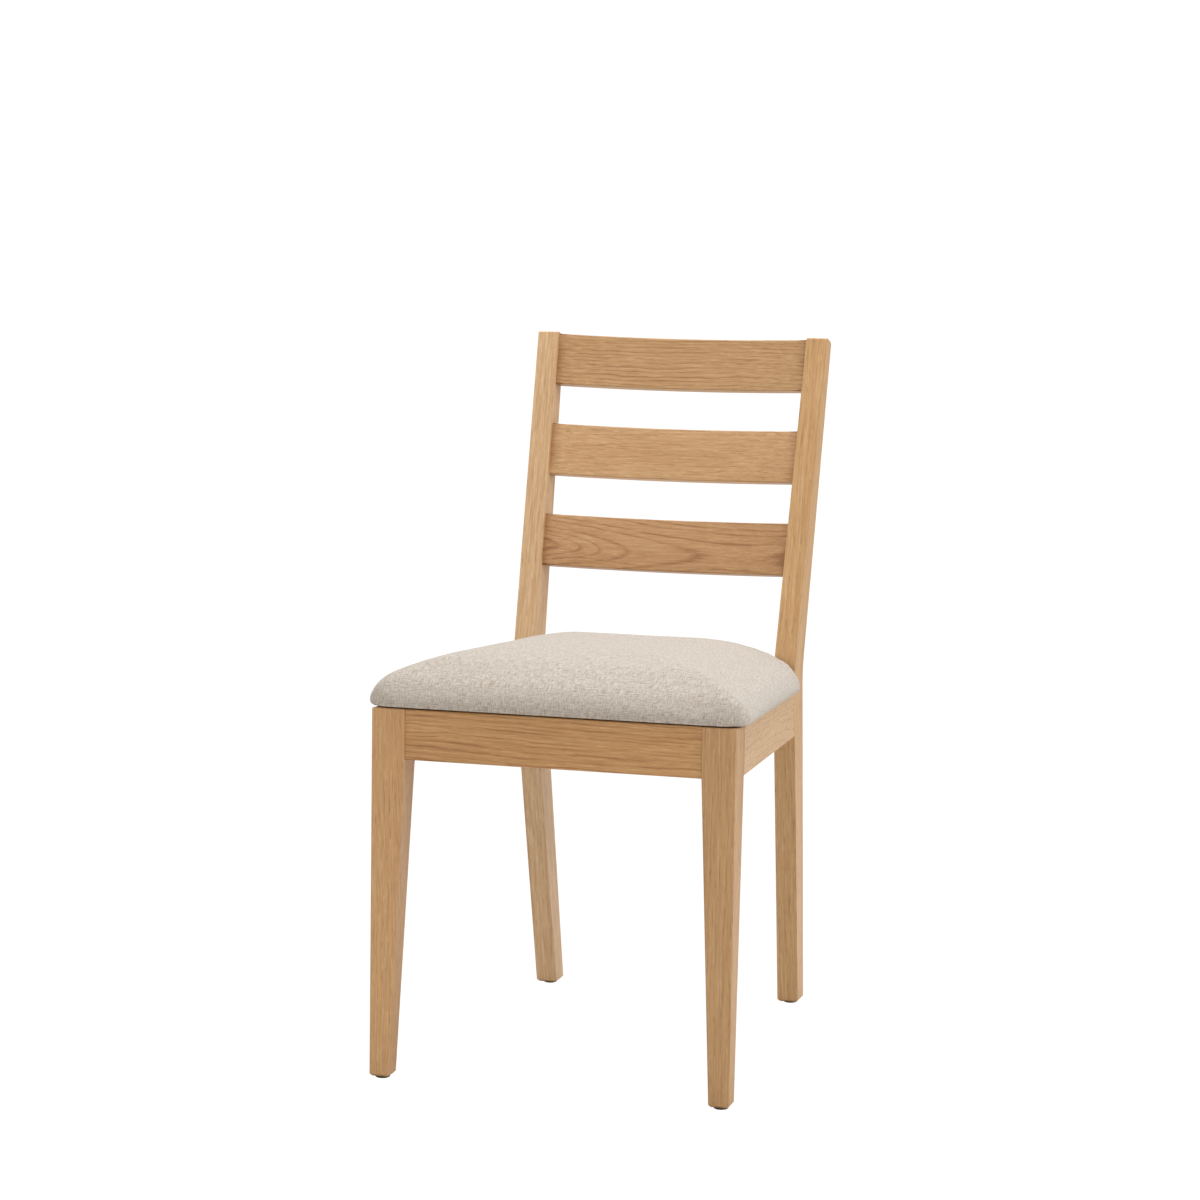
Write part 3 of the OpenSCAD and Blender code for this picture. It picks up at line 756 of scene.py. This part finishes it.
def dust_cover():
    """A single layer of cloth pulled flat, scalloped a little between staples."""
    bm = bmesh.new()
    front, back = PAD_FRONT + DUST_INSET, PAD_BACK - DUST_INSET
    points = {}
    for j in range(DUST_ROWS + 1):
        y = front + (back - front) * j / DUST_ROWS
        half = side_x(y, DUST_INSET - OVERHANG)
        for i in range(DUST_COLUMNS + 1):
            x = half * (2 * i / DUST_COLUMNS - 1)
            if in_dust_plan(x, y):
                z = dust_height(x, y, half - abs(x), min(y - front, back - y))
                points[i, j] = bm.verts.new(from_seat(x, y, z))
    for i, j in points:
        corner = [(i, j + 1), (i + 1, j + 1), (i + 1, j), (i, j)]
        if all(c in points for c in corner):
            bm.faces.new([points[c] for c in corner])
    loose = [v for v in bm.verts if not v.link_faces]
    bmesh.ops.delete(bm, geom=loose, context="VERTS")
    area = sum(f.calc_area() for f in bm.faces)
    sheet = new_object("dust_cover_cloth", bm)
    shade_smooth(sheet.data)
    paint(sheet, dust_cloth())
    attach(sheet, "root")
    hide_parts("dust_cover")


dust_cover()

# --------------------------------------------- CAD nodes that stay as they are
metal = ("block_screws", "seat_screws", "cover_staples", "glide_nails")
KEPT = {"rail_dowels": birch, "seat_board": plywood}
KEPT.update(dict.fromkeys(metal, steel()))
KEPT.update(dict.fromkeys(("glide_" + corner for corner in CORNERS), plastic()))
for node, material in KEPT.items():
    paint(frame["nodes"][node], material)


# ------------------------------------------------------- floor, light, camera
WHITE = 1.05
FLOOR_STOPS = [(0.3, (0.78, 0.78, 0.78)), (0.7, (0.82, 0.82, 0.82))]
FLOOR_HALF = 30
SKY, SKY_COLOUR = 0.68, (1.04, 0.985, 0.90)
NEUTRAL, COOL = (1, 1, 1), (0.98, 1, 1.04)
CHAIR_MIDDLE = Vector((0, 0, 0.5))
# name: place, width in metres, power in watts, colour
LIGHTS = {
    "key": ((2.8, -0.6, 2.2), 2.0, 32, COOL),
    "front": ((0.9, -3.4, 1.6), 2.4, 2.5, NEUTRAL),
    "left": ((-2.8, -1.2, 1.6), 2.4, 3, NEUTRAL),
    "top": ((0.0, 0.3, 3.2), 2.6, 77, COOL),
}


def floor():
    g = new_material("pale_floor")
    colour = g.ramp(g.noise(g.place(), (3, 3, 3)), FLOOR_STOPS)
    pale = g.add("BsdfDiffuse", {"Color": colour}).outputs[0]
    white = g.add("Emission", {"Strength": WHITE}).outputs[0]
    g.add("OutputMaterial", {"Surface": g.white_to_camera(pale, white)})
    bm = bmesh.new()
    bmesh.ops.create_grid(bm, x_segments=8, y_segments=8, size=FLOOR_HALF)
    plane = new_object("floor", bm)
    paint(plane, g.owner)


def world():
    """Even soft light, and pure white where the camera sees past the floor."""
    scene.world = bpy.data.worlds.new("studio")
    g = Graph(scene.world)
    inputs = {"Color": (*SKY_COLOUR, 1), "Strength": SKY}
    even = g.add("Background", inputs).outputs[0]
    inputs = {"Color": (1, 1, 1, 1), "Strength": WHITE}
    white = g.add("Background", inputs).outputs[0]
    g.add("OutputWorld", {"Surface": g.white_to_camera(even, white)})


def area_light(name, place, width, power, colour):
    """A round soft light aimed at the chair, which the camera doesn't see."""
    lamp = bpy.data.lights.new(name, "AREA")
    lamp.shape, lamp.size, lamp.energy, lamp.color = "DISK", width, power, colour
    obj = bpy.data.objects.new(name, lamp)
    scene.collection.objects.link(obj)
    obj.location = place
    aim = (CHAIR_MIDDLE - Vector(place)).to_track_quat("-Z", "Y")
    obj.rotation_euler = aim.to_euler()
    obj.visible_camera = False


def camera():
    """The camera that fits the photo's straight edges, in degrees and metres."""
    yaw, pitch, roll = (math.radians(a) for a in (16.311, 6.604, 0.886))
    distance, across, rise = 4.05737, -0.02729, 0.55666
    back = Vector((math.sin(yaw), -math.cos(yaw), 0)) * math.cos(pitch)
    back.z = math.sin(pitch)
    right = (-back).cross(Vector((0, 0, 1))).normalized()
    up = right.cross(-back)
    axis_x = right * math.cos(roll) + up * math.sin(roll)
    axis_y = up * math.cos(roll) - right * math.sin(roll)
    place = Vector((across * math.cos(yaw), across * math.sin(yaw), rise))
    place += back * distance
    data = bpy.data.cameras.new("camera")
    data.sensor_width, data.lens = 36, 97.6401
    data.clip_end = 100
    obj = bpy.data.objects.new("camera", data)
    scene.collection.objects.link(obj)
    turn = Matrix((axis_x, axis_y, back)).transposed().to_4x4()
    obj.matrix_world = Matrix.Translation(place) @ turn
    scene.camera = obj


floor()
world()
for name, facts in LIGHTS.items():
    area_light(name, *facts)
camera()
scene.view_settings.view_transform = "Standard"
